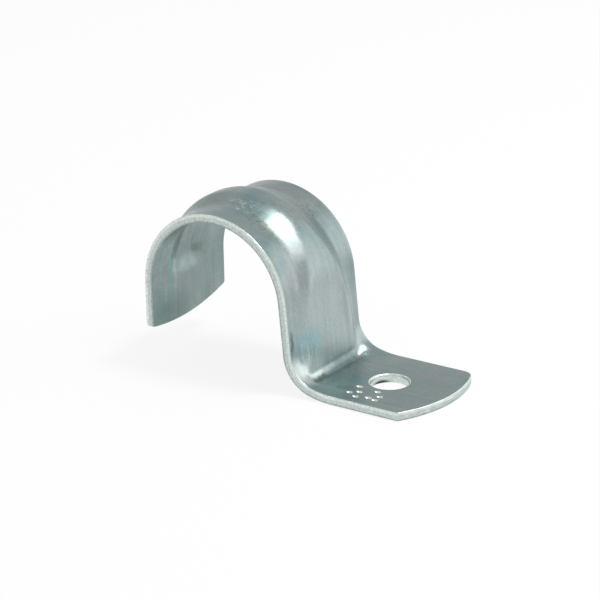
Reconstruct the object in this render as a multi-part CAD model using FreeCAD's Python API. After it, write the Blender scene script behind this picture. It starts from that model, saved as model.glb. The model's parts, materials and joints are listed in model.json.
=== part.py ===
import FreeCAD, Part
import math
import os

# One-hole conduit strap: a flat steel strip, pressed in one piece into a saddle over the conduit,
# a free leg on one side and a flared leg with a screw foot on the other. A rib is pressed outwards
# along the middle of the saddle, and widens into a gusset where the flared leg meets the foot.
#
# Frame, in millimetres: the origin is the screw hole's centre on the mounting face (z = 0),
# +X along the foot away from the conduit, +Y along the conduit, +Z away from the wall.

Vector = FreeCAD.Vector

# ---- Strip ----
strip_width = 19.0
gauge = 1.35

# ---- Saddle and legs ----
seat_radius = 11.7          # inside of the saddle, round a 23.4 mm conduit
seat_height = 12.95         # conduit axis above the mounting face
flare_angle = 5.2           # lean of the foot-side leg from upright
tip_height = 5.1            # middle of the free leg's end above the mounting face
tip_radius = 38.0           # arc that the free leg's end is cut to
tip_corner = 0.5

# ---- Bend from the flared leg into the foot, along the strip's margins ----
bend_radius = 6.2           # on the underside
easing_radius = 16.0        # long run-out into the flat foot
easing_angle = 14.0         # share of the quarter turn that the run-out takes

# ---- Foot ----
hole_setback = 4.27         # end of the bend's run-out to the screw hole's centre
foot_reach = 10.5           # screw hole to the middle of the foot's end
foot_end_radius = 19.5      # arc that the foot's end is cut to
near_corner = 0.4           # corner radii of the foot, at -Y and at +Y
far_corner = 2.0
end_skew = 4.0              # both ends are cut this far off square to the strip
hole_diameter = 5.8
hole_lip = 0.35             # rolled edge round the top of the hole

# ---- Pressed rib: a flat top and sloping flanks, whose corners are eased on both sides ----
crown_rib_height = 1.3
crown_rib_root = 4.8        # half width between the corners of flank and margin
crown_rib_shoulder = 1.5    # half width between the corners of flank and top
crown_rib_easing = 0.9
toe_rib_height = 1.0
toe_rib_root = 7.8
toe_rib_shoulder = 6.0
toe_rib_easing = 0.7
toe_fillet = 1.4            # on top, where the rib's crest meets the foot
rib_start = 6.2             # flat length of the free leg below the rib
fade_angle = 14.5           # turn of the saddle by which the rib has its full height
even_angle = 110.0          # turn from there over which it keeps the crown's section

# ---- Spacing of the sections that the rib's changing stretches are skinned over ----
section_step = 0.6


def smooth(share):
    """Ease from 0 to 1, level at both ends."""
    share = min(max(share, 0.0), 1.0)
    return share * share * (3.0 - 2.0 * share)


def mix(first, last, share):
    return first + (last - first) * share


# ---- Side profiles: points (x, z), with headings in degrees, 0 along +X and -90 straight down ----

def outward(heading):
    """Unit normal on the outer side of a path with this heading."""
    turn = math.radians(heading + 90.0)
    return math.cos(turn), math.sin(turn)


def along(point, heading, length):
    turn = math.radians(heading)
    return point[0] + length * math.cos(turn), point[1] + length * math.sin(turn)


def shifted(point, normal, distance):
    return point[0] + normal[0] * distance, point[1] + normal[1] * distance


def arc_drop(radius, first, last):
    """Height lost on an arc that turns from one heading up to another."""
    return radius * (math.cos(math.radians(last)) - math.cos(math.radians(first)))


class Path:
    """Lines and arcs joined end to end; at(length) gives the point and heading there."""

    def __init__(self, point, heading):
        self.pieces = []
        self.point = point
        self.heading = heading
        self.length = 0.0

    def line(self, length):
        self.pieces.append((self.length, length, self.point, self.heading, 0.0))
        self.point = along(self.point, self.heading, length)
        self.length += length

    def arc(self, radius, turn):
        """Turns left by a positive angle, or right by a negative one."""
        length = radius * math.radians(abs(turn))
        self.pieces.append((self.length, length, self.point, self.heading, turn))
        self.point = self.on_arc(self.point, self.heading, radius, turn)
        self.heading += turn
        self.length += length

    @staticmethod
    def on_arc(point, heading, radius, turn):
        chord = 2.0 * radius * math.sin(math.radians(abs(turn)) / 2.0)
        return along(point, heading + turn / 2.0, chord)

    def at(self, length):
        for start, span, point, heading, turn in self.pieces:
            if length <= start + span:
                break
        share = min((length - start) / span, 1.0)
        if turn == 0.0:
            return along(point, heading, share * span), heading
        radius = span / math.radians(abs(turn))
        return self.on_arc(point, heading, radius, turn * share), heading + turn * share


leg_heading = flare_angle - 90.0
rib_root_z = tip_height + rib_start
springing = seat_height - rib_root_z    # length of the margins below the saddle's arc


def margin_profile(seat_x):
    """Inner line of the margins as far as the hole, and the lengths at which saddle, leg and bend end."""
    path = Path((seat_x - seat_radius, rib_root_z), 90.0)
    path.line(springing)
    path.arc(seat_radius, leg_heading - 90.0)
    saddle_end = path.length
    bend_height = arc_drop(bend_radius, leg_heading, -easing_angle)
    bend_height += arc_drop(easing_radius, -easing_angle, 0.0)
    path.line((path.point[1] - bend_height) / math.cos(math.radians(flare_angle)))
    leg_end = path.length
    path.arc(bend_radius, -easing_angle - leg_heading)
    path.arc(easing_radius, easing_angle)
    bend_end = path.length
    path.line(hole_setback)
    return path, saddle_end, leg_end, bend_end


from_conduit, *_ = margin_profile(0.0)
seat_x = -from_conduit.point[0]
margins, saddle_end, leg_end, bend_end = margin_profile(seat_x)
foot_start = -hole_setback
even_start = springing + seat_radius * math.radians(fade_angle)
even_end = even_start + seat_radius * math.radians(even_angle)


def crest_profile(offset, fillet, level):
    """The rib's crest through the bend: straight down, round a fillet and along the foot at this level."""
    leg_foot, _ = margins.at(leg_end)
    start = shifted(leg_foot, outward(leg_heading), offset)
    path = Path(start, leg_heading)
    fall = start[1] - level - arc_drop(fillet, leg_heading, 0.0)
    path.line(fall / math.cos(math.radians(flare_angle)))
    path.arc(fillet, -leg_heading)
    path.line(foot_start - path.point[0])
    return path


crest_outer = crest_profile(gauge + toe_rib_height, toe_fillet, gauge)
crest_inner = crest_profile(toe_rib_height, toe_fillet + gauge, 0.0)


# ---- Sections of the ribbed strip: a loop of bands, each with two poles, or three if it is eased ----

def toward(corner, neighbour, easing):
    """Point on the way from this corner to its neighbour, this far off it along Y."""
    return corner + (neighbour - corner) * (easing / abs(neighbour.y - corner.y))


def bands_across(margin, crest, root, shoulder, easing):
    """Bands from the -Y edge over the rib to the +Y edge, with every corner between them eased."""
    half_strip = strip_width / 2.0
    corners = [
        Vector(mix(margin[0], crest[0], lift), y, mix(margin[1], crest[1], lift))
        for y, lift in (
            (-half_strip, 0.0),
            (-root, 0.0),
            (-shoulder, 1.0),
            (shoulder, 1.0),
            (root, 0.0),
            (half_strip, 0.0),
        )
    ]
    bands = []
    last = corners[0]
    for before, corner, after in zip(corners, corners[1:], corners[2:]):
        start = toward(corner, before, easing)
        end = toward(corner, after, easing)
        bands += [[last, start], [start, corner, end]]
        last = end
    return bands + [[last, corners[-1]]]


def section(length):
    """Bands round the strip at this length along the margins: outer face, +Y edge, inner face, -Y edge."""
    inner, heading = margins.at(length)
    normal = outward(heading)
    outer = shifted(inner, normal, gauge)
    widening = smooth((length - even_end) / (leg_end - even_end))
    root = mix(crown_rib_root, toe_rib_root, widening)
    shoulder = mix(crown_rib_shoulder, toe_rib_shoulder, widening)
    easing = mix(crown_rib_easing, toe_rib_easing, widening)
    if leg_end < length < bend_end:
        share = (length - leg_end) / (bend_end - leg_end)
        inner_crest, _ = crest_inner.at(share * crest_inner.length)
        outer_crest, _ = crest_outer.at(share * crest_outer.length)
    else:
        height = mix(crown_rib_height, toe_rib_height, widening) * smooth(length / even_start)
        if length >= bend_end:
            height = 0.0
        inner_crest = shifted(inner, normal, height)
        outer_crest = shifted(outer, normal, height)
    over = bands_across(outer, outer_crest, root, shoulder, easing)
    under = bands_across(inner, inner_crest, root, shoulder, easing)
    back = [band[::-1] for band in reversed(under)]
    return over + [[over[-1][-1], back[0][0]]] + back + [[back[-1][-1], over[0][0]]]


def band_edge(poles):
    if len(poles) == 2:
        return Part.makeLine(*poles)
    curve = Part.BezierCurve()
    curve.setPoles(poles)
    return curve.toShape()


def cap(length):
    """Flat face across the strip at this length."""
    return Part.Face(Part.Wire([band_edge(poles) for poles in section(length)]))


def band_face(poles, lengths, first, last):
    """Face over one band of the sections at these lengths, cut back to lie between first and last."""
    lines = []
    for points in zip(*poles):
        line = Part.BSplineCurve()
        line.interpolate(Points=list(points), Parameters=lengths)
        lines.append(line)
    across = Part.BezierCurve()
    across.setPoles(poles[0])
    across = across.toBSpline()
    surface = Part.BSplineSurface()
    surface.buildFromPolesMultsKnots(
        list(zip(*[line.getPoles() for line in lines])),
        lines[0].getMultiplicities(),
        across.getMultiplicities(),
        lines[0].getKnots(),
        across.getKnots(),
        False,
        False,
        lines[0].Degree,
        across.Degree,
    )
    surface.segment(first, last, 0.0, 1.0)
    return surface.toShape()


def skinned(first, last):
    """Solid over evenly spaced sections. Two more beyond either end steady the curves there."""
    count = math.ceil((last - first) / section_step)
    lengths = [mix(first, last, i / count) for i in range(-2, count + 3)]
    bands = zip(*[section(length) for length in lengths])
    faces = [band_face(poles, lengths, lengths[2], lengths[-3]) for poles in bands]
    shell = Part.makeShell(faces + [cap(first), cap(last)])
    shell.sewShape()
    return Part.makeSolid(shell)


def even_stretch():
    """Most of the saddle, where the section stays the same round the conduit."""
    axis = Vector(seat_x, 0.0, seat_height)
    return cap(even_start).revolve(axis, Vector(0.0, 1.0, 0.0), even_angle)


# ---- Flat ends, cut to an arc ----

def end_reach(y, reach, radius, skew):
    """How far an end cut to this arc reaches at y, if it reaches this far at y = 0."""
    centre_y = radius * math.sin(math.radians(skew))
    rise = math.sqrt(radius**2 - (y - centre_y) ** 2)
    return reach - math.sqrt(radius**2 - centre_y**2) + rise


def end_outline(start, reach, radius, skew):
    """Wire in the XY plane: a strip from x = start, with its far end cut to the arc."""
    half_strip = strip_width / 2.0
    corners = [Vector(start, y, 0.0) for y in (-half_strip, half_strip)]
    ends = [Vector(end_reach(y, reach, radius, skew), y, 0.0) for y in (-half_strip, 0.0, half_strip)]
    sides = [
        Part.makeLine(corners[0], ends[0]),
        Part.Arc(*ends).toShape(),
        Part.makeLine(ends[2], corners[1]),
        Part.makeLine(corners[1], corners[0]),
    ]
    return Part.Wire(sides)


def plate(start, reach, radius, skew):
    return Part.Face(end_outline(start, reach, radius, skew)).extrude(Vector(0.0, 0.0, gauge))


def upright_edges(shape, start, side):
    """Edges along the gauge at the cut end, on the -Y side (-1) or the +Y side (1)."""
    found = []
    for edge in shape.Edges:
        box = edge.BoundBox
        upright = box.ZLength > gauge / 2.0 and box.XLength + box.YLength < gauge / 100.0
        if upright and box.XMin > start + gauge and box.YMin * side > 0.0:
            found.append(edge)
    return found


def foot():
    """The flat foot, with its rounded corners and its screw hole."""
    shape = plate(foot_start, foot_reach, foot_end_radius, end_skew)
    for corner, side in ((near_corner, -1), (far_corner, 1)):
        shape = shape.makeFillet(corner, upright_edges(shape, foot_start, side))
    shape = shape.cut(Part.makeCylinder(hole_diameter / 2.0, gauge))
    rims = [edge for edge in shape.Edges if is_hole_rim(edge)]
    return shape.makeFillet(hole_lip, rims)


def is_hole_rim(edge):
    """The hole's upper edge, the only closed edge on the foot's top face."""
    return edge.isClosed() and abs(edge.CenterOfMass.z - gauge) < gauge / 100.0


def leg_end_plate():
    """The free leg's flat end. It is made lying down, with its root at x = 0, and then stood up."""
    shape = plate(0.0, rib_start, tip_radius, end_skew)
    for side in (-1, 1):
        shape = shape.makeFillet(tip_corner, upright_edges(shape, 0.0, side))
    # lying +X becomes down, and lying +Z becomes the outer side at -X
    shape.rotate(Vector(0.0, 0.0, 0.0), Vector(0.0, 1.0, 0.0), 90.0)
    shape.rotate(Vector(0.0, 0.0, 0.0), Vector(0.0, 0.0, 1.0), 180.0)
    shape.translate(Vector(seat_x - seat_radius, 0.0, rib_root_z))
    return shape


def strap():
    """The whole strip, from the free leg's end over the saddle to the foot."""
    stretches = [
        leg_end_plate(),
        skinned(0.0, even_start),
        even_stretch(),
        skinned(even_end, saddle_end),
        skinned(saddle_end, leg_end),
        skinned(leg_end, bend_end),
        foot(),
    ]
    return stretches[0].fuse(stretches[1:]).removeSplitter()


os.makedirs("parts", exist_ok=True)
strap().exportStep("parts/strap.step")
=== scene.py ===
import json
import math

import bmesh
import bpy
from mathutils import Matrix, Vector


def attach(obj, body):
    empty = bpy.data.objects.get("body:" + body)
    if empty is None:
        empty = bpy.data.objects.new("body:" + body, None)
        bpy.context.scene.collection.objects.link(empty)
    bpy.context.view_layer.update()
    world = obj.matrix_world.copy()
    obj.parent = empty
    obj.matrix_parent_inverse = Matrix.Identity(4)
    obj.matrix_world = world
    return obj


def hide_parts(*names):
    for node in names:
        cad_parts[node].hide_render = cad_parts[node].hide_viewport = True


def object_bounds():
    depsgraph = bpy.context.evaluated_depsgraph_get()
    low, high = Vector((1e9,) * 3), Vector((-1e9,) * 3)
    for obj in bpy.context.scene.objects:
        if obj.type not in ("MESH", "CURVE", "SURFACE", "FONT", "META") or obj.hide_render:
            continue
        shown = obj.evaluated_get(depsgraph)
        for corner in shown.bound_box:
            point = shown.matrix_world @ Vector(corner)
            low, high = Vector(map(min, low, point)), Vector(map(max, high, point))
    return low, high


# The look of a one-hole conduit strap in bright zinc plate. The strip is meshed finely over the same
# sections as the CAD solid, with the slightly rounded edges that a blanking die leaves, and stands for it.
# Lengths are in millimetres and angles in degrees, unless a comment says otherwise.

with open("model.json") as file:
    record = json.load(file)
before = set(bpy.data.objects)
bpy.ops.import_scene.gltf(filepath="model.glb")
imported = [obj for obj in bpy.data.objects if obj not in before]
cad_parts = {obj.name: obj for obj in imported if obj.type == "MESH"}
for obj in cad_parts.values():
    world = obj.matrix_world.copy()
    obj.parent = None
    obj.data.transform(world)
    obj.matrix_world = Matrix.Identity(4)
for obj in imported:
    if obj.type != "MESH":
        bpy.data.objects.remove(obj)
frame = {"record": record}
cad_low, cad_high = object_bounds()
MM = 0.001

mounts = {mount["name"]: mount for mount in frame["record"]["mounts"]}

# ---- Strip; what the frame can tell is read from it ----
strip_width = (cad_high.y - cad_low.y) / MM
gauge = 1.35

# ---- Saddle and legs ----
seat_radius = mounts["conduit_seat"]["dims"]["r_mm"]
seat_x = mounts["conduit_seat"]["pos_m"][0] / MM
seat_height = mounts["conduit_seat"]["pos_m"][2] / MM
flare_angle = 5.2           # lean of the foot-side leg from upright
tip_height = 5.1            # middle of the free leg's end above the mounting face
tip_radius = 38.0           # arc that the free leg's end is cut to
tip_corner = 0.5

# ---- Bend from the flared leg into the foot, along the strip's margins ----
bend_radius = 6.2           # on the underside
easing_radius = 16.0        # long run-out into the flat foot
easing_angle = 14.0         # share of the quarter turn that the run-out takes

# ---- Foot ----
foot_start = -4.27          # end of the bend's run-out
foot_reach = 10.5           # screw hole to the middle of the foot's end
foot_end_radius = 19.5      # arc that the foot's end is cut to
near_corner = 0.4           # corner radii of the foot, at -Y and at +Y
far_corner = 2.0
end_skew = 4.0              # both ends are cut this far off square to the strip
hole_radius = mounts["screw_hole"]["dims"]["r_mm"]
hole_lip = 0.35             # rolled edge round the top of the hole

# ---- Pressed rib; root and shoulder are half widths, and the easing rounds both ----
crown_rib = {"height": 1.3, "root": 4.8, "shoulder": 1.5, "easing": 0.9}
toe_rib = {"height": 1.0, "root": 7.8, "shoulder": 6.0, "easing": 0.7}
toe_fillet = 1.4            # on top, where the rib's crest meets the foot
rib_start = 6.2             # flat length of the free leg below the rib
fade_angle = 14.5           # turn of the saddle by which the rib has its full height
even_angle = 110.0          # turn from there over which it keeps the crown's section

# ---- Plain dents beside the hole, each pressed by a short rounded bar ----
mark_length = 1.24
mark_width = 0.84
mark_depth = 0.32
mark_rise = 0.03            # the bar's middle above the foot's top
mark_span = 0.98            # share of the half turn from pole to pole that is meshed
mark_places = (
    (-2.8, -3.9), (-1.7, -5.6), (-1.3, -7.4), (-2.9, -6.5),
    (0.7, -4.3), (1.9, -5.7), (1.9, -7.1), (0.6, -6.8),
)

# ---- Fineness of the mesh ----
edge_round = 0.13           # die roll along every sheared edge
round_steps = 4
row_step = 0.25             # along the strip
flat_step = 0.35            # along the flat ends
columns = 110               # across each face
hole_sides = 96
lip_steps = 6
mark_sides = 24
mark_levels = 10
cut_clearance = 1.0         # how far the hole's cutter stands past both faces
hard_edge_angle = 40.0

# ---- Bare metal in the hole's wall, and a painted glint in the dents ----
# in the dents this bright tone is a painted glint
bareness_and_glint = 0.9          # share of the sheared edge's tone
bare_lip = 0.8              # share of the lip's width that is bare
painted_glint_depth = 0.04           # a dent takes the painted glint from this far below the face


def smooth(share):
    share = min(max(share, 0.0), 1.0)
    return share * share * (3.0 - 2.0 * share)


def mix(first, last, share):
    return first + (last - first) * share


# ---- Side profiles: points (x, z), with headings in degrees, 0 along +X and -90 straight down ----

def outward(heading):
    turn = math.radians(heading + 90.0)
    return math.cos(turn), math.sin(turn)


def along(point, heading, length):
    turn = math.radians(heading)
    return point[0] + length * math.cos(turn), point[1] + length * math.sin(turn)


def shifted(point, normal, distance):
    return point[0] + normal[0] * distance, point[1] + normal[1] * distance


def arc_drop(radius, first, last):
    """Fall along an arc between two headings."""
    return radius * (math.cos(math.radians(last)) - math.cos(math.radians(first)))


class Path:
    """Lines and arcs joined end to end; at(length) gives the point and heading there."""

    def __init__(self, point, heading):
        self.pieces = []
        self.point = point
        self.heading = heading
        self.length = 0.0

    def line(self, length):
        self.pieces.append((self.length, length, self.point, self.heading, 0.0))
        self.point = along(self.point, self.heading, length)
        self.length += length

    def arc(self, radius, turn):
        """Turns left by a positive angle, or right by a negative one."""
        length = radius * math.radians(abs(turn))
        self.pieces.append((self.length, length, self.point, self.heading, turn))
        self.point = self.on_arc(self.point, self.heading, radius, turn)
        self.heading += turn
        self.length += length

    @staticmethod
    def on_arc(point, heading, radius, turn):
        chord = 2.0 * radius * math.sin(math.radians(abs(turn)) / 2.0)
        return along(point, heading + turn / 2.0, chord)

    def at(self, length):
        for start, span, point, heading, turn in self.pieces:
            if length <= start + span:
                break
        share = min((length - start) / span, 1.0)
        if turn == 0.0:
            return along(point, heading, share * span), heading
        radius = span / math.radians(abs(turn))
        return self.on_arc(point, heading, radius, turn * share), heading + turn * share


leg_heading = flare_angle - 90.0
rib_root_z = tip_height + rib_start
springing = seat_height - rib_root_z

margins = Path((seat_x - seat_radius, rib_root_z), 90.0)
margins.line(springing)
margins.arc(seat_radius, leg_heading - 90.0)
bend_height = arc_drop(bend_radius, leg_heading, -easing_angle) + arc_drop(easing_radius, -easing_angle, 0.0)
margins.line((margins.point[1] - bend_height) / math.cos(math.radians(flare_angle)))
leg_end = margins.length
margins.arc(bend_radius, -easing_angle - leg_heading)
margins.arc(easing_radius, easing_angle)
bend_end = margins.length
even_start = springing + seat_radius * math.radians(fade_angle)
even_end = even_start + seat_radius * math.radians(even_angle)


def crest_profile(offset, fillet, level):
    """The rib's crest through the bend: straight down, round a fillet and along the foot at this level."""
    leg_foot, _ = margins.at(leg_end)
    start = shifted(leg_foot, outward(leg_heading), offset)
    path = Path(start, leg_heading)
    fall = start[1] - level - arc_drop(fillet, leg_heading, 0.0)
    path.line(fall / math.cos(math.radians(flare_angle)))
    path.arc(fillet, -leg_heading)
    path.line(foot_start - path.point[0])
    return path


crest_outer = crest_profile(gauge + toe_rib["height"], toe_fillet, gauge)
crest_inner = crest_profile(toe_rib["height"], toe_fillet + gauge, 0.0)


# ---- Points of the sheet, at a length along it, a place across it and a depth into it ----

def lift(y, root, shoulder, easing):
    """Share of the rib's height at this place across the strip."""
    slope = 1.0 / (root - shoulder)
    off = abs(y)
    if off >= root + easing:
        return 0.0
    if off >= root - easing:
        return slope * (root + easing - off) ** 2 / (4.0 * easing)
    if off >= shoulder + easing:
        return slope * (root - off)
    if off >= shoulder - easing:
        return 1.0 - slope * (off - shoulder + easing) ** 2 / (4.0 * easing)
    return 1.0


def end_outline(y, reach, radius, near, far, lean):
    """Reach of a cut end at y, inside its die roll, with the outline's normal there as (along, across)."""
    half = strip_width / 2.0
    centre_y = radius * math.sin(math.radians(lean))
    centre = reach - math.sqrt(radius**2 - centre_y**2)
    side = -1.0 if y < centre_y else 1.0
    corner = near if side < 0.0 else far
    corner_y = side * (half - corner)
    tangent_y = centre_y + (corner_y - centre_y) * (radius - edge_round) / (radius - corner)
    if side * (y - tangent_y) > 0.0:
        centre += math.sqrt((radius - corner) ** 2 - (corner_y - centre_y) ** 2)
        centre_y = corner_y
        radius = corner
    inside = radius - edge_round
    run = math.sqrt(max(inside**2 - (y - centre_y) ** 2, 0.0))
    return centre + run, (run / inside, (y - centre_y) / inside)


def strip_row(length):
    """One row across the ribbed strip, as a function of y, depth (0 outer face, 1 inner) and push outward."""
    inner, heading = margins.at(length)
    normal = outward(heading)
    outer = shifted(inner, normal, gauge)
    widening = smooth((length - even_end) / (leg_end - even_end))
    rib = {key: mix(crown_rib[key], toe_rib[key], widening) for key in crown_rib}
    if leg_end < length < bend_end:
        share = (length - leg_end) / (bend_end - leg_end)
        inner_crest, _ = crest_inner.at(share * crest_inner.length)
        outer_crest, _ = crest_outer.at(share * crest_outer.length)
    else:
        height = 0.0 if length >= bend_end else rib["height"] * smooth(length / even_start)
        inner_crest = shifted(inner, normal, height)
        outer_crest = shifted(outer, normal, height)

    def place(y, depth, push):
        up = lift(y, rib["root"], rib["shoulder"], rib["easing"])
        x = mix(mix(outer[0], outer_crest[0], up), mix(inner[0], inner_crest[0], up), depth)
        z = mix(mix(outer[1], outer_crest[1], up), mix(inner[1], inner_crest[1], up), depth)
        return x, y + math.copysign(push, y), z

    return place


def tip_row(share):
    """Row of the free leg's flat end, from its cut end (share 0) up to the rib's root (share 1)."""
    def place(y, depth, push):
        reach, normal = end_outline(y, rib_start, tip_radius, tip_corner, tip_corner, -end_skew)
        low = rib_root_z - reach
        if share == 0.0:
            low -= push * normal[0]
            y += push * normal[1]
        else:
            y += math.copysign(push, y)
        return seat_x - seat_radius - gauge * (1.0 - depth), y, mix(low, rib_root_z, share)

    return place


def foot_row(share):
    """Row of the flat foot, from the bend (share 0) to its cut end (share 1)."""
    def place(y, depth, push):
        far, normal = end_outline(y, foot_reach, foot_end_radius, near_corner, far_corner, end_skew)
        if share == 1.0:
            far += push * normal[0]
            y += push * normal[1]
        else:
            y += math.copysign(push, y)
        return mix(foot_start, far, share), y, gauge * (1.0 - depth)

    return place


def all_rows():
    """Rows from the free leg's cut end to the foot's, each a function of y, depth and push."""
    tip_steps = math.ceil(rib_start / flat_step)
    foot_steps = math.ceil((foot_reach - foot_start) / flat_step)
    rows = [tip_row(i / tip_steps) for i in range(tip_steps)]
    stops = [0.0, leg_end, bend_end]
    for first, last in zip(stops, stops[1:]):
        steps = math.ceil((last - first) / row_step)
        rows += [strip_row(mix(first, last, i / steps)) for i in range(steps)]
    return rows + [foot_row(i / foot_steps) for i in range(foot_steps + 1)]


# ---- Meshes ----

def as_object(name, points, faces, **attributes):
    """A mesh object from points in millimetres, with attributes of one number for each point."""
    mesh = bpy.data.meshes.new(name)
    mesh.from_pydata([[v * MM for v in point] for point in points], [], faces)
    for kind, values in attributes.items():
        mesh.attributes.new(kind, "FLOAT", "POINT").data.foreach_set("value", values)
    made = bmesh.new()
    made.from_mesh(mesh)
    bmesh.ops.recalc_face_normals(made, faces=made.faces)
    made.to_mesh(mesh)
    made.free()
    piece = bpy.data.objects.new(name, mesh)
    bpy.context.scene.collection.objects.link(piece)
    return piece


def rim_profile():
    """(push outward, depth) down a sheared edge with its two rounded corners, between the faces."""
    turns = [math.pi / 2.0 * i / round_steps for i in range(1, round_steps + 1)]
    over = [(edge_round * math.sin(a), edge_round * (1.0 - math.cos(a)) / gauge) for a in turns]
    return over + [(push, 1.0 - depth) for push, depth in reversed(over)]


def border(last_row, last_column):
    """Places (row, column) once round the edge of a grid."""
    loop = [(i, last_column) for i in range(last_row)]
    loop += [(last_row, j) for j in range(last_column, 0, -1)]
    loop += [(i, 0) for i in range(last_row, 0, -1)]
    return loop + [(0, j) for j in range(last_column)]


def both_faces(rows, across):
    """Points and faces of the strip's outer face, with the inner face's on the same grid after them."""
    points = [row(y, depth, 0.0) for depth in (0.0, 1.0) for row in rows for y in across]
    count = len(rows) * columns
    faces = []
    for i in range(len(rows) - 1):
        for j in range(columns - 1):
            a = i * columns + j
            quad = (a, a + 1, a + columns + 1, a + columns)
            faces.append(quad)
            faces.append([corner + count for corner in quad])
    return points, faces


def pressed_sheet():
    """The whole strip: both faces and the sheared edge all round, marked as rim and by its depth."""
    flat = strip_width / 2.0 - edge_round
    across = [flat * math.sin(math.pi * (j / (columns - 1) - 0.5)) for j in range(columns)]
    rows = all_rows()
    count = len(rows) * columns
    points, faces = both_faces(rows, across)
    depths = [0.0] * count + [1.0] * count
    profile = rim_profile()
    strands = []
    for i, j in border(len(rows) - 1, columns - 1):
        start = len(points)
        points += [rows[i](across[j], depth, push) for push, depth in profile]
        depths += [depth for _, depth in profile]
        corner = i * columns + j
        strands.append([corner, *range(start, start + len(profile)), corner + count])
    for strand, following in zip(strands, strands[1:] + strands[:1]):
        for k in range(len(profile) + 1):
            faces.append((strand[k], strand[k + 1], following[k + 1], following[k]))
    rim = [0.0] * (2 * count) + [1.0] * (len(points) - 2 * count)
    return as_object("strap_skin", points, faces, rim=rim, depth=depths)


def ringed(name, bodies, sides):
    """An object of closed bodies, each a middle (x, y) and level rings of two half widths and a height."""
    points = []
    faces = []
    for (middle_x, middle_y), rings in bodies:
        start = len(points)
        for reach_x, reach_y, z in rings:
            for k in range(sides):
                turn = 2.0 * math.pi * k / sides
                points.append((middle_x + reach_x * math.cos(turn), middle_y + reach_y * math.sin(turn), z))
        faces.append(list(range(start, start + sides)))
        faces.append(list(range(len(points) - sides, len(points))))
        for low in range(start, len(points) - sides, sides):
            for k in range(sides):
                following = (k + 1) % sides
                faces.append((low + k, low + following, low + sides + following, low + sides + k))
    return as_object(name, points, faces)


def hole_punch():
    """Cutter for the screw hole, round the Z axis, flaring over the lip at the foot's top."""
    rings = [(hole_radius, hole_radius, -cut_clearance)]
    for i in range(lip_steps + 1):
        turn = math.pi / 2.0 * i / lip_steps
        radius = hole_radius + hole_lip * (1.0 - math.cos(turn))
        rings.append((radius, radius, gauge - hole_lip + hole_lip * math.sin(turn)))
    rings.append((radius, radius, gauge + cut_clearance))
    return ringed("hole_punch", [((0.0, 0.0), rings)], hole_sides)


def mark_punch():
    """Cutter for two small groups of plain dents beside the hole."""
    rings = []
    for i in range(mark_levels + 1):
        rise = math.pi * (i / mark_levels - 0.5) * mark_span
        shrink = math.cos(rise)
        height = gauge + mark_rise + mark_depth * math.sin(rise)
        rings.append((mark_length / 2.0 * shrink, mark_width / 2.0 * shrink, height))
    return ringed("mark_punch", [(place, rings) for place in mark_places], mark_sides)


def cut_with(piece, cutter):
    """Takes the cutter out of the piece for good."""
    modifier = piece.modifiers.new("cut", "BOOLEAN")
    modifier.operation = "DIFFERENCE"
    modifier.solver = "EXACT"
    modifier.object = cutter
    graph = bpy.context.evaluated_depsgraph_get()
    mesh = bpy.data.meshes.new_from_object(piece.evaluated_get(graph))
    piece.modifiers.clear()
    piece.data = mesh
    bpy.data.objects.remove(cutter)


def bare_cuts(piece):
    """Marks the hole's wall as bare, bright metal, as the sheared edge is, and gives the dents the same
    bright tone as a painted glint.
    """
    rim = piece.data.attributes["rim"].data
    for vertex in piece.data.vertices:
        x, y, z = (value / MM for value in vertex.co)
        in_hole = math.hypot(x, y) < hole_radius + bare_lip * hole_lip and x > foot_start
        near_mark = min(math.hypot(x - place[0], y - place[1]) for place in mark_places)
        painted_glint_in_mark = near_mark < mark_length / 2.0 and 0.0 < gauge - z - painted_glint_depth < mark_depth
        if in_hole or painted_glint_in_mark:
            rim[vertex.index].value = bareness_and_glint


def shade(piece):
    """Smooth shading that keeps the hard edges of the cuts."""
    for face in piece.data.polygons:
        face.use_smooth = True
    piece.data.set_sharp_from_angle(angle=math.radians(hard_edge_angle))


# ---- Nodes ----

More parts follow.
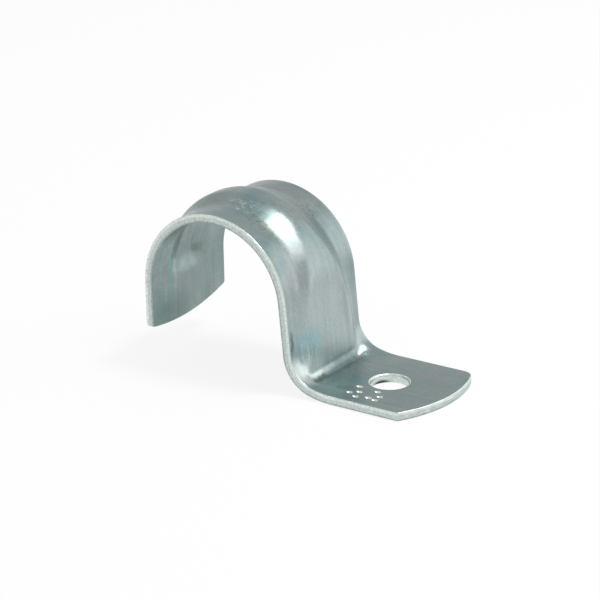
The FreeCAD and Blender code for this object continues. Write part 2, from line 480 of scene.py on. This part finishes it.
class Nodes:
    """Short calls for building the nodes of a material or of the world."""

    def __init__(self, owner):
        owner.use_nodes = True
        self.tree = owner.node_tree
        self.tree.nodes.clear()

    def add(self, kind, *sources, **settings):
        """A node with these settings, whose first inputs take the sources."""
        node = self.tree.nodes.new(kind)
        for name, value in settings.items():
            setattr(node, name, value)
        for target, source in zip(node.inputs, sources):
            self.feed(target, source)
        return node

    def feed(self, target, source):
        """Links the source to the target if it is a socket, and otherwise sets it as the target's value."""
        if isinstance(source, bpy.types.NodeSocket):
            self.tree.links.new(source, target)
        elif target.type == "RGBA":
            target.default_value = (*source, 1.0)
        else:
            target.default_value = source

    def calc(self, operation, *sources):
        return self.add("ShaderNodeMath", *sources, operation=operation).outputs[0]

    def vector(self, operation, *sources):
        return self.add("ShaderNodeVectorMath", *sources, operation=operation).outputs[0]

    def attribute(self, name):
        return self.add("ShaderNodeAttribute", attribute_name=name).outputs["Fac"]

    def noise(self, vector, scale=1.0, detail=3.0, roughness=0.5, output="Fac"):
        node = self.add("ShaderNodeTexNoise")
        self.feed(node.inputs["Vector"], vector)
        self.feed(node.inputs["Scale"], scale)
        self.feed(node.inputs["Detail"], detail)
        self.feed(node.inputs["Roughness"], roughness)
        return node.outputs[output]

    def ramp(self, value, stops):
        node = self.add("ShaderNodeValToRGB")
        self.feed(node.inputs["Fac"], value)
        elements = node.color_ramp.elements
        while len(elements) < len(stops):
            elements.new(0.5)
        for element, (position, colour) in zip(elements, stops):
            element.position = position
            element.color = (*colour, 1.0)
        return node.outputs["Color"]

    def spread(self, value, low, high, first, last, form="LINEAR"):
        """The value's range from low to high, drawn over the one from first to last."""
        node = self.add("ShaderNodeMapRange", interpolation_type=form)
        self.feed(node.inputs["Value"], value)
        for name, number in (("From Min", low), ("From Max", high), ("To Min", first), ("To Max", last)):
            self.feed(node.inputs[name], number)
        return node.outputs["Result"]

    def mixed(self, factor, first, second, blend="MIX"):
        node = self.add("ShaderNodeMix", data_type="RGBA", blend_type=blend)
        for target, source in ((node.inputs[0], factor), (node.inputs[6], first), (node.inputs[7], second)):
            self.feed(target, source)
        return node.outputs[2]

    def either(self, factor, first, second):
        return self.add("ShaderNodeMixShader", factor, first, second).outputs[0]

    def bump(self, height, distance, strength, normal=None):
        """Relief by this height, over the relief of the normal if there is one."""
        node = self.add("ShaderNodeBump")
        self.feed(node.inputs["Height"], height)
        self.feed(node.inputs["Distance"], distance)
        self.feed(node.inputs["Strength"], strength)
        if normal is not None:
            self.feed(node.inputs["Normal"], normal)
        return node.outputs["Normal"]


# ---- Zinc plate, with painted light and shade ----

# Tones drawn over a noise, as (its value, linear colour). Streaks and specks multiply what is under them.
CLOUDS = (
    (0.32, (0.20, 0.285, 0.295)),
    (0.46, (0.25, 0.315, 0.315)),
    (0.60, (0.29, 0.345, 0.340)),
    (0.74, (0.30, 0.320, 0.330)),
)
STREAKS = ((0.3, (0.90, 0.90, 0.90)), (0.7, (1.08, 1.08, 1.08)))
SPECKS = ((0.30, (0.80, 0.82, 0.80)), (0.42, (1.0, 1.0, 1.0)), (0.72, (1.08, 1.08, 1.07)))
# the sheared edge's tone; the dents take it too, as a painted glint
SHEARED_AND_GLINT = ((0.3, (0.48, 0.55, 0.53)), (0.7, (0.76, 0.81, 0.78)))

# The same by the depth into the sheared edge, multiplying its tone: burnished below the outer face, then
# broken, and darker at the inner face, which is painted shade.
SHEAR_BANDS_AND_SHADE = (
    (0.14, (1.12, 1.12, 1.10)),
    (0.44, (1.10, 1.11, 1.10)),
    (0.52, (0.86, 0.88, 0.88)),
    (0.90, (0.84, 0.87, 0.87)),
    (1.00, (0.55, 0.60, 0.60)),
)

# name: (centre, reach, linear colour, share at the centre). Some are the plate's own tints, and some are
# painted light and shade, as their names or the comments above them say
TINTS_AND_PAINTED_LIGHT = {
    # painted shade: the foot's top darker
    "foot": ((3.0, 0.0, 1.3), (15.0, 14.0, 2.4), (0.200, 0.270, 0.265), 0.75),
    # painted light: the foot-side leg lighter
    "leg": ((-10.6, -1.5, 9.5), (3.4, 21.0, 11.0), (0.43, 0.505, 0.50), 0.78),
    "leg_low": ((-10.3, -2.0, 3.8), (2.2, 6.5, 2.2), (0.38, 0.47, 0.47), 0.45),
    # painted highlight on the bend from the leg into the foot
    "bend_light": ((-9.9, -6.2, 2.8), (2.4, 4.8, 2.8), (0.64, 0.70, 0.68), 0.74),
    # painted shade: the crown darker towards the free leg
    "crown_left": ((-32.0, -2.0, 25.4), (7.0, 9.0, 5.5), (0.17, 0.25, 0.24), 0.75),
    # painted shade: the inside face of the free leg darker
    "inner": ((-37.2, 1.0, 13.0), (2.2, 12.0, 10.0), (0.20, 0.27, 0.26), 0.55),
    # painted shade in the crease where the rib's toe meets the foot
    "toe_crease": ((-9.3, -5.0, 1.6), (0.90, 3.8, 0.65), (0.06, 0.09, 0.09), 0.80),
    # painted shade over the far half of the rib's toe
    "toe_far": ((-9.4, 2.4, 2.0), (1.7, 5.6, 1.4), (0.15, 0.21, 0.21), 0.85),
    # painted highlight where the near margin's bend runs out into the foot
    "foot_near": ((-6.0, -7.0, 1.4), (3.2, 3.0, 2.0), (0.27, 0.38, 0.38), 0.60),
    "foot_teal": ((-5.2, -2.4, 1.3), (2.4, 1.9, 1.6), (0.13, 0.29, 0.31), 0.60),
    "foot_blue": ((-4.4, -5.6, 1.3), (1.9, 1.2, 1.6), (0.12, 0.22, 0.27), 0.60),
    "foot_rose": ((4.5, 4.5, 1.3), (3.4, 2.4, 1.6), (0.27, 0.27, 0.30), 0.40),
    "leg_blue": ((-11.1, -5.4, 7.3), (1.8, 5.0, 2.5), (0.27, 0.45, 0.50), 0.75),
    "leg_dark_streak": ((-11.6, -8.7, 8.2), (1.6, 0.5, 2.4), (0.08, 0.14, 0.15), 0.70),
    # painted shade: a darker band down the far side of the foot-side leg
    "leg_band": ((-10.8, 4.6, 11.5), (2.0, 1.6, 6.0), (0.27, 0.33, 0.33), 0.55),
    "crown_rose": ((-24.0, 6.6, 26.6), (4.5, 2.6, 2.0), (0.30, 0.26, 0.30), 0.45),
    # painted highlight: cream tint where the lamp's hot spot falls on the crown
    "crown_cream": ((-18.4, -5.0, 24.6), (3.0, 2.0, 2.6), (0.37, 0.40, 0.31), 0.32),
    # painted reflection: a dark teal band down the inside of the free leg
    "inner_teal_strip": ((-36.8, -4.6, 15.5), (0.95, 0.65, 7.5), (0.13, 0.36, 0.34), 0.70),
    # painted highlight: a light band down the inside of the free leg
    "inner_light_strip": ((-37.3, -3.3, 15.0), (1.0, 0.60, 6.5), (0.42, 0.52, 0.51), 0.55),
    "inner_low_shade": ((-37.2, -4.5, 6.4), (2.5, 6.5, 4.2), (0.13, 0.20, 0.19), 0.65),
}

# name: (centre, reach, flecks to the mm, linear colour)
SCUFFS = {
    "crown_scratches": ((-23.6, -3.8, 26.4), (3.6, 1.9, 2.4), (1.0, 4.5, 1.0), (0.62, 0.66, 0.63)),
    "crown_specks": ((-19.6, -5.4, 24.4), (4.4, 1.8, 3.4), (1.8, 3.2, 1.8), (0.10, 0.13, 0.11)),
    "far_specks": ((-16.6, 5.0, 24.0), (4.6, 1.9, 4.0), (1.8, 3.2, 1.8), (0.12, 0.15, 0.14)),
    "leg_die_lines": ((-10.8, -5.6, 5.0), (2.4, 3.4, 3.6), (0.25, 4.2, 0.25), (0.56, 0.66, 0.66)),
}

# Laid out as a tint is: the dark patch low on the hole's wall
HOLE_SHADE = ((-2.5, 1.5, 0.1), (1.7, 2.0, 0.5), (0.03, 0.04, 0.04), 0.95)

patch_core = 0.25           # share of its reach in which a patch is even
patch_edge = 1.15           # share of its reach at which it is gone
scuff_share = 0.75
fleck_edge = (0.54, 0.62)   # values of the noise between which a fleck sets in
ragged_drift = 1.6          # how far a patch's edge wanders, from side to side
streak_grain = (0.05, 1.7, 0.05)    # waves of the noise to the mm along x, y and z
shear_grain = (2.6, 0.3, 2.6)
shear_waver = 0.30          # how far the sheared edge's bands wander, as a share of the gauge
streak_relief = 0.00003     # metres, as are the next two
ripple_relief = 0.00003
grain_relief = 0.000006
roughness_range = (0.25, 0.38)


def patch(nodes, place, centre, reach, share):
    """Soft-edged patch round a point: this share at its middle, and nothing past its edge."""
    off = nodes.vector("SUBTRACT", place, centre)
    scaled = nodes.vector("MULTIPLY", off, tuple(1.0 / size for size in reach))
    length = nodes.add("ShaderNodeVectorMath", scaled, operation="LENGTH").outputs["Value"]
    return nodes.spread(length, patch_core, patch_edge, share, 0.0, "SMOOTHSTEP")


def scuffed(nodes, place, in_mm, colour, centre, reach, grain, tone):
    """The colour with fine flecks of a tone in a patch round a point."""
    flecks = nodes.noise(nodes.vector("MULTIPLY", in_mm, grain), detail=4.0, roughness=0.6)
    sharp = nodes.spread(flecks, *fleck_edge, 0.0, 1.0)
    where = nodes.calc("MULTIPLY", sharp, patch(nodes, place, centre, reach, scuff_share))
    return nodes.mixed(where, colour, tone)


def wandering(nodes, in_mm):
    """The place moved about by a noise, so that a patch drawn by it gets a ragged edge."""
    ragged = nodes.noise(in_mm, scale=0.8, output="Color")
    drift = nodes.vector("MULTIPLY_ADD", ragged, (ragged_drift,) * 3, in_mm)
    return nodes.vector("SUBTRACT", drift, (ragged_drift / 2.0,) * 3)


def plate_tone_and_painted_light(nodes, in_mm, streaks):
    """Clouds, tints and scuffs of the plate, with painted light and shade among the tints, and the die's
    streaks and fine specks over them.
    """
    place = wandering(nodes, in_mm)
    tone = nodes.ramp(nodes.noise(in_mm, scale=0.15, detail=2.0), CLOUDS)
    for centre, reach, tint_or_painted_light, share in TINTS_AND_PAINTED_LIGHT.values():
        tone = nodes.mixed(patch(nodes, place, centre, reach, share), tone, tint_or_painted_light)
    for centre, reach, grain, fleck in SCUFFS.values():
        tone = scuffed(nodes, place, in_mm, tone, centre, reach, grain, fleck)
    specks = nodes.noise(in_mm, scale=2.6, detail=6.0, roughness=0.65)
    tone = nodes.mixed(1.0, tone, nodes.ramp(streaks, STREAKS), "MULTIPLY")
    return nodes.mixed(1.0, tone, nodes.ramp(specks, SPECKS), "MULTIPLY")


def sheared_tone_and_painted_light(nodes, in_mm):
    """Tone of the sheared edge, finely lined across the sheet and banded by the depth into it, with painted
    shade towards the inner face; the dents take it as a painted glint.
    """
    lines = nodes.noise(nodes.vector("MULTIPLY", in_mm, shear_grain), detail=5.0, roughness=0.6)
    waver = nodes.calc("MULTIPLY_ADD", nodes.noise(in_mm, scale=0.7), shear_waver, nodes.attribute("depth"))
    return nodes.mixed(1.0, nodes.ramp(lines, SHEARED_AND_GLINT), nodes.ramp(waver, SHEAR_BANDS_AND_SHADE), "MULTIPLY")


def hole_shaded(nodes, in_mm, colour):
    """The colour with the dark patch low on the hole's wall, kept off the faces that lie flat."""
    centre, reach, dark, share = HOLE_SHADE
    normal = nodes.add("ShaderNodeNewGeometry").outputs["Normal"]
    flat = nodes.calc("ABSOLUTE", nodes.add("ShaderNodeSeparateXYZ", normal).outputs["Z"])
    upright = nodes.spread(flat, low=0.2, high=0.8, first=1.0, last=0.0)
    where = nodes.calc("MULTIPLY", upright, patch(nodes, in_mm, centre, reach, share))
    return nodes.mixed(where, colour, dark)


def zinc_plate_with_painted_light():
    """Bright zinc plate on pressed steel: clouded grey-green tints, die streaks lengthwise, a fine grain, and
    painted light and shade.
    """
    material = bpy.data.materials.new("zinc_plate_look")
    nodes = Nodes(material)
    place = nodes.add("ShaderNodeTexCoord").outputs["Object"]
    in_mm = nodes.vector("MULTIPLY", place, (1.0 / MM,) * 3)
    streaks = nodes.noise(nodes.vector("MULTIPLY", in_mm, streak_grain), detail=6.0, roughness=0.6)
    plate_and_painted_light = plate_tone_and_painted_light(nodes, in_mm, streaks)
    # rim: bare metal on the sheared edge and the hole's wall, and a painted glint in the dents
    colour = nodes.mixed(nodes.attribute("rim"), plate_and_painted_light, sheared_tone_and_painted_light(nodes, in_mm))
    roughness = nodes.spread(nodes.noise(in_mm, scale=0.9, detail=5.0), 0.3, 0.7, *roughness_range)
    ripples = nodes.noise(in_mm, scale=1.3, detail=5.0)
    grain = nodes.noise(in_mm, scale=7.0, detail=4.0)
    normal = nodes.bump(streaks, streak_relief, strength=0.30)
    normal = nodes.bump(ripples, ripple_relief, strength=0.30, normal=normal)
    normal = nodes.bump(grain, grain_relief, strength=0.5, normal=normal)

    shader = nodes.add("ShaderNodeBsdfPrincipled")
    nodes.feed(shader.inputs["Metallic"], 1.0)
    nodes.feed(shader.inputs["Base Color"], hole_shaded(nodes, in_mm, colour))
    nodes.feed(shader.inputs["Roughness"], roughness)
    nodes.feed(shader.inputs["Normal"], normal)
    nodes.add("ShaderNodeOutputMaterial", shader.outputs["BSDF"])
    return material


# ---- Stage ----

target = Vector((seat_x, 0.0, 12.0)) * MM      # what the lamps and the camera are set round

floor_half = 3.0            # metres
floor_drop = 0.00002        # metres below the mounting face, so that the two don't lie in one plane
floor_paint = (0.9, 0.9, 0.9)
floor_white = 0.86          # share of plain white that the camera and reflections see in the floor
world_light = 0.68          # strength of the world as light; where it is seen, it is 1

# name: (direction from the strap, distance, size, all in metres, and power in watts)
LAMPS = {
    "key_lamp": ((0.36, 0.18, 0.92), 0.6, 0.13, 1.7),
    "shoulder_lamp": ((0.66, 0.12, 0.74), 0.7, 0.28, 0.52),
    "low_right_lamp": ((0.75, 0.75, 0.12), 0.8, 0.90, 1.9),
}

# ---- Camera, fitted to the photograph's outline ----
camera_turn = 34.32         # from -Y towards +X
camera_rise = 21.09
camera_tilt = -1.06         # about its own axis, as the photograph is turned a little
camera_distance = 0.4068    # metres
camera_lens = 158.97
camera_sensor = 36.0
camera_near = 0.01          # metres
aim_right = 0.00764         # metres in the picture from the target to its middle
aim_up = -0.00244


def white_rays(nodes):
    """1 for the rays that meet plain white: the camera's, reflected ones and those through glass."""
    rays = nodes.add("ShaderNodeLightPath").outputs
    seen = nodes.calc("MAXIMUM", rays["Is Camera Ray"], rays["Is Glossy Ray"])
    return nodes.calc("MAXIMUM", seen, rays["Is Transmission Ray"])


def white_floor():
    """Pale paint that looks white but keeps a soft shadow, and is clear from below."""
    material = bpy.data.materials.new("white_floor")
    nodes = Nodes(material)
    paint = nodes.add("ShaderNodeBsdfDiffuse", floor_paint)
    white = nodes.add("ShaderNodeEmission")
    nodes.feed(white.inputs["Strength"], 1.0)
    share = nodes.calc("MULTIPLY", white_rays(nodes), floor_white)
    above = nodes.either(share, paint.outputs[0], white.outputs[0])
    below = nodes.add("ShaderNodeBsdfTransparent").outputs[0]
    side = nodes.add("ShaderNodeNewGeometry").outputs["Backfacing"]
    nodes.add("ShaderNodeOutputMaterial", nodes.either(side, above, below))
    return material


def floor():
    """Plain floor under the strap; from below it is clear, so that the underside can be seen."""
    mesh = bpy.data.meshes.new("floor")
    signs = ((-1, -1), (1, -1), (1, 1), (-1, 1))
    corners = [(floor_half * x, floor_half * y, 0.0) for x, y in signs]
    mesh.from_pydata(corners, [], [(0, 1, 2, 3)])
    piece = bpy.data.objects.new("floor", mesh)
    bpy.context.scene.collection.objects.link(piece)
    piece.location.z = -floor_drop
    mesh.materials.append(white_floor())


def surroundings():
    """A soft even world, brighter where the camera or a reflection meets it."""
    world = bpy.data.worlds.new("studio")
    bpy.context.scene.world = world
    nodes = Nodes(world)
    light = nodes.add("ShaderNodeBackground")
    nodes.feed(light.inputs["Strength"], nodes.spread(white_rays(nodes), 0.0, 1.0, world_light, 1.0))
    nodes.add("ShaderNodeOutputWorld", light.outputs[0])


def lamp(name, direction, distance, size, power):
    """A square soft lamp that shines on the strap from this direction."""
    light = bpy.data.lights.new(name, "AREA")
    light.size = size
    light.energy = power
    piece = bpy.data.objects.new(name, light)
    bpy.context.scene.collection.objects.link(piece)
    away = Vector(direction).normalized()
    piece.location = target + away * distance
    piece.rotation_euler = away.to_track_quat("Z", "Y").to_euler()
    piece.visible_camera = False


def photo_camera():
    """Camera at the photograph's angle, turned a little about its own axis, as the photograph is."""
    turn = math.radians(camera_turn)
    rise = math.radians(camera_rise)
    tilt = math.radians(camera_tilt)
    back = Vector((math.sin(turn) * math.cos(rise), -math.cos(turn) * math.cos(rise), math.sin(rise)))
    level = Vector((math.cos(turn), math.sin(turn), 0.0))
    upright = back.cross(level)
    right = math.cos(tilt) * level + math.sin(tilt) * upright
    up = -math.sin(tilt) * level + math.cos(tilt) * upright
    place = target + right * aim_right + up * aim_up + back * camera_distance
    camera = bpy.data.objects.new("camera", bpy.data.cameras.new("camera"))
    camera.data.lens = camera_lens
    camera.data.sensor_width = camera_sensor
    camera.data.clip_start = camera_near
    camera.matrix_world = Matrix.Translation(place) @ Matrix((right, up, back)).transposed().to_4x4()
    bpy.context.scene.collection.objects.link(camera)
    bpy.context.scene.camera = camera


strap = pressed_sheet()
cut_with(strap, hole_punch())
cut_with(strap, mark_punch())
bare_cuts(strap)
shade(strap)
strap.data.materials.clear()
strap.data.materials.append(zinc_plate_with_painted_light())
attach(strap, "root")
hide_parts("strap")

floor()
surroundings()
for lamp_name, settings in LAMPS.items():
    lamp(lamp_name, *settings)
photo_camera()
bpy.context.scene.view_settings.view_transform = "Standard"
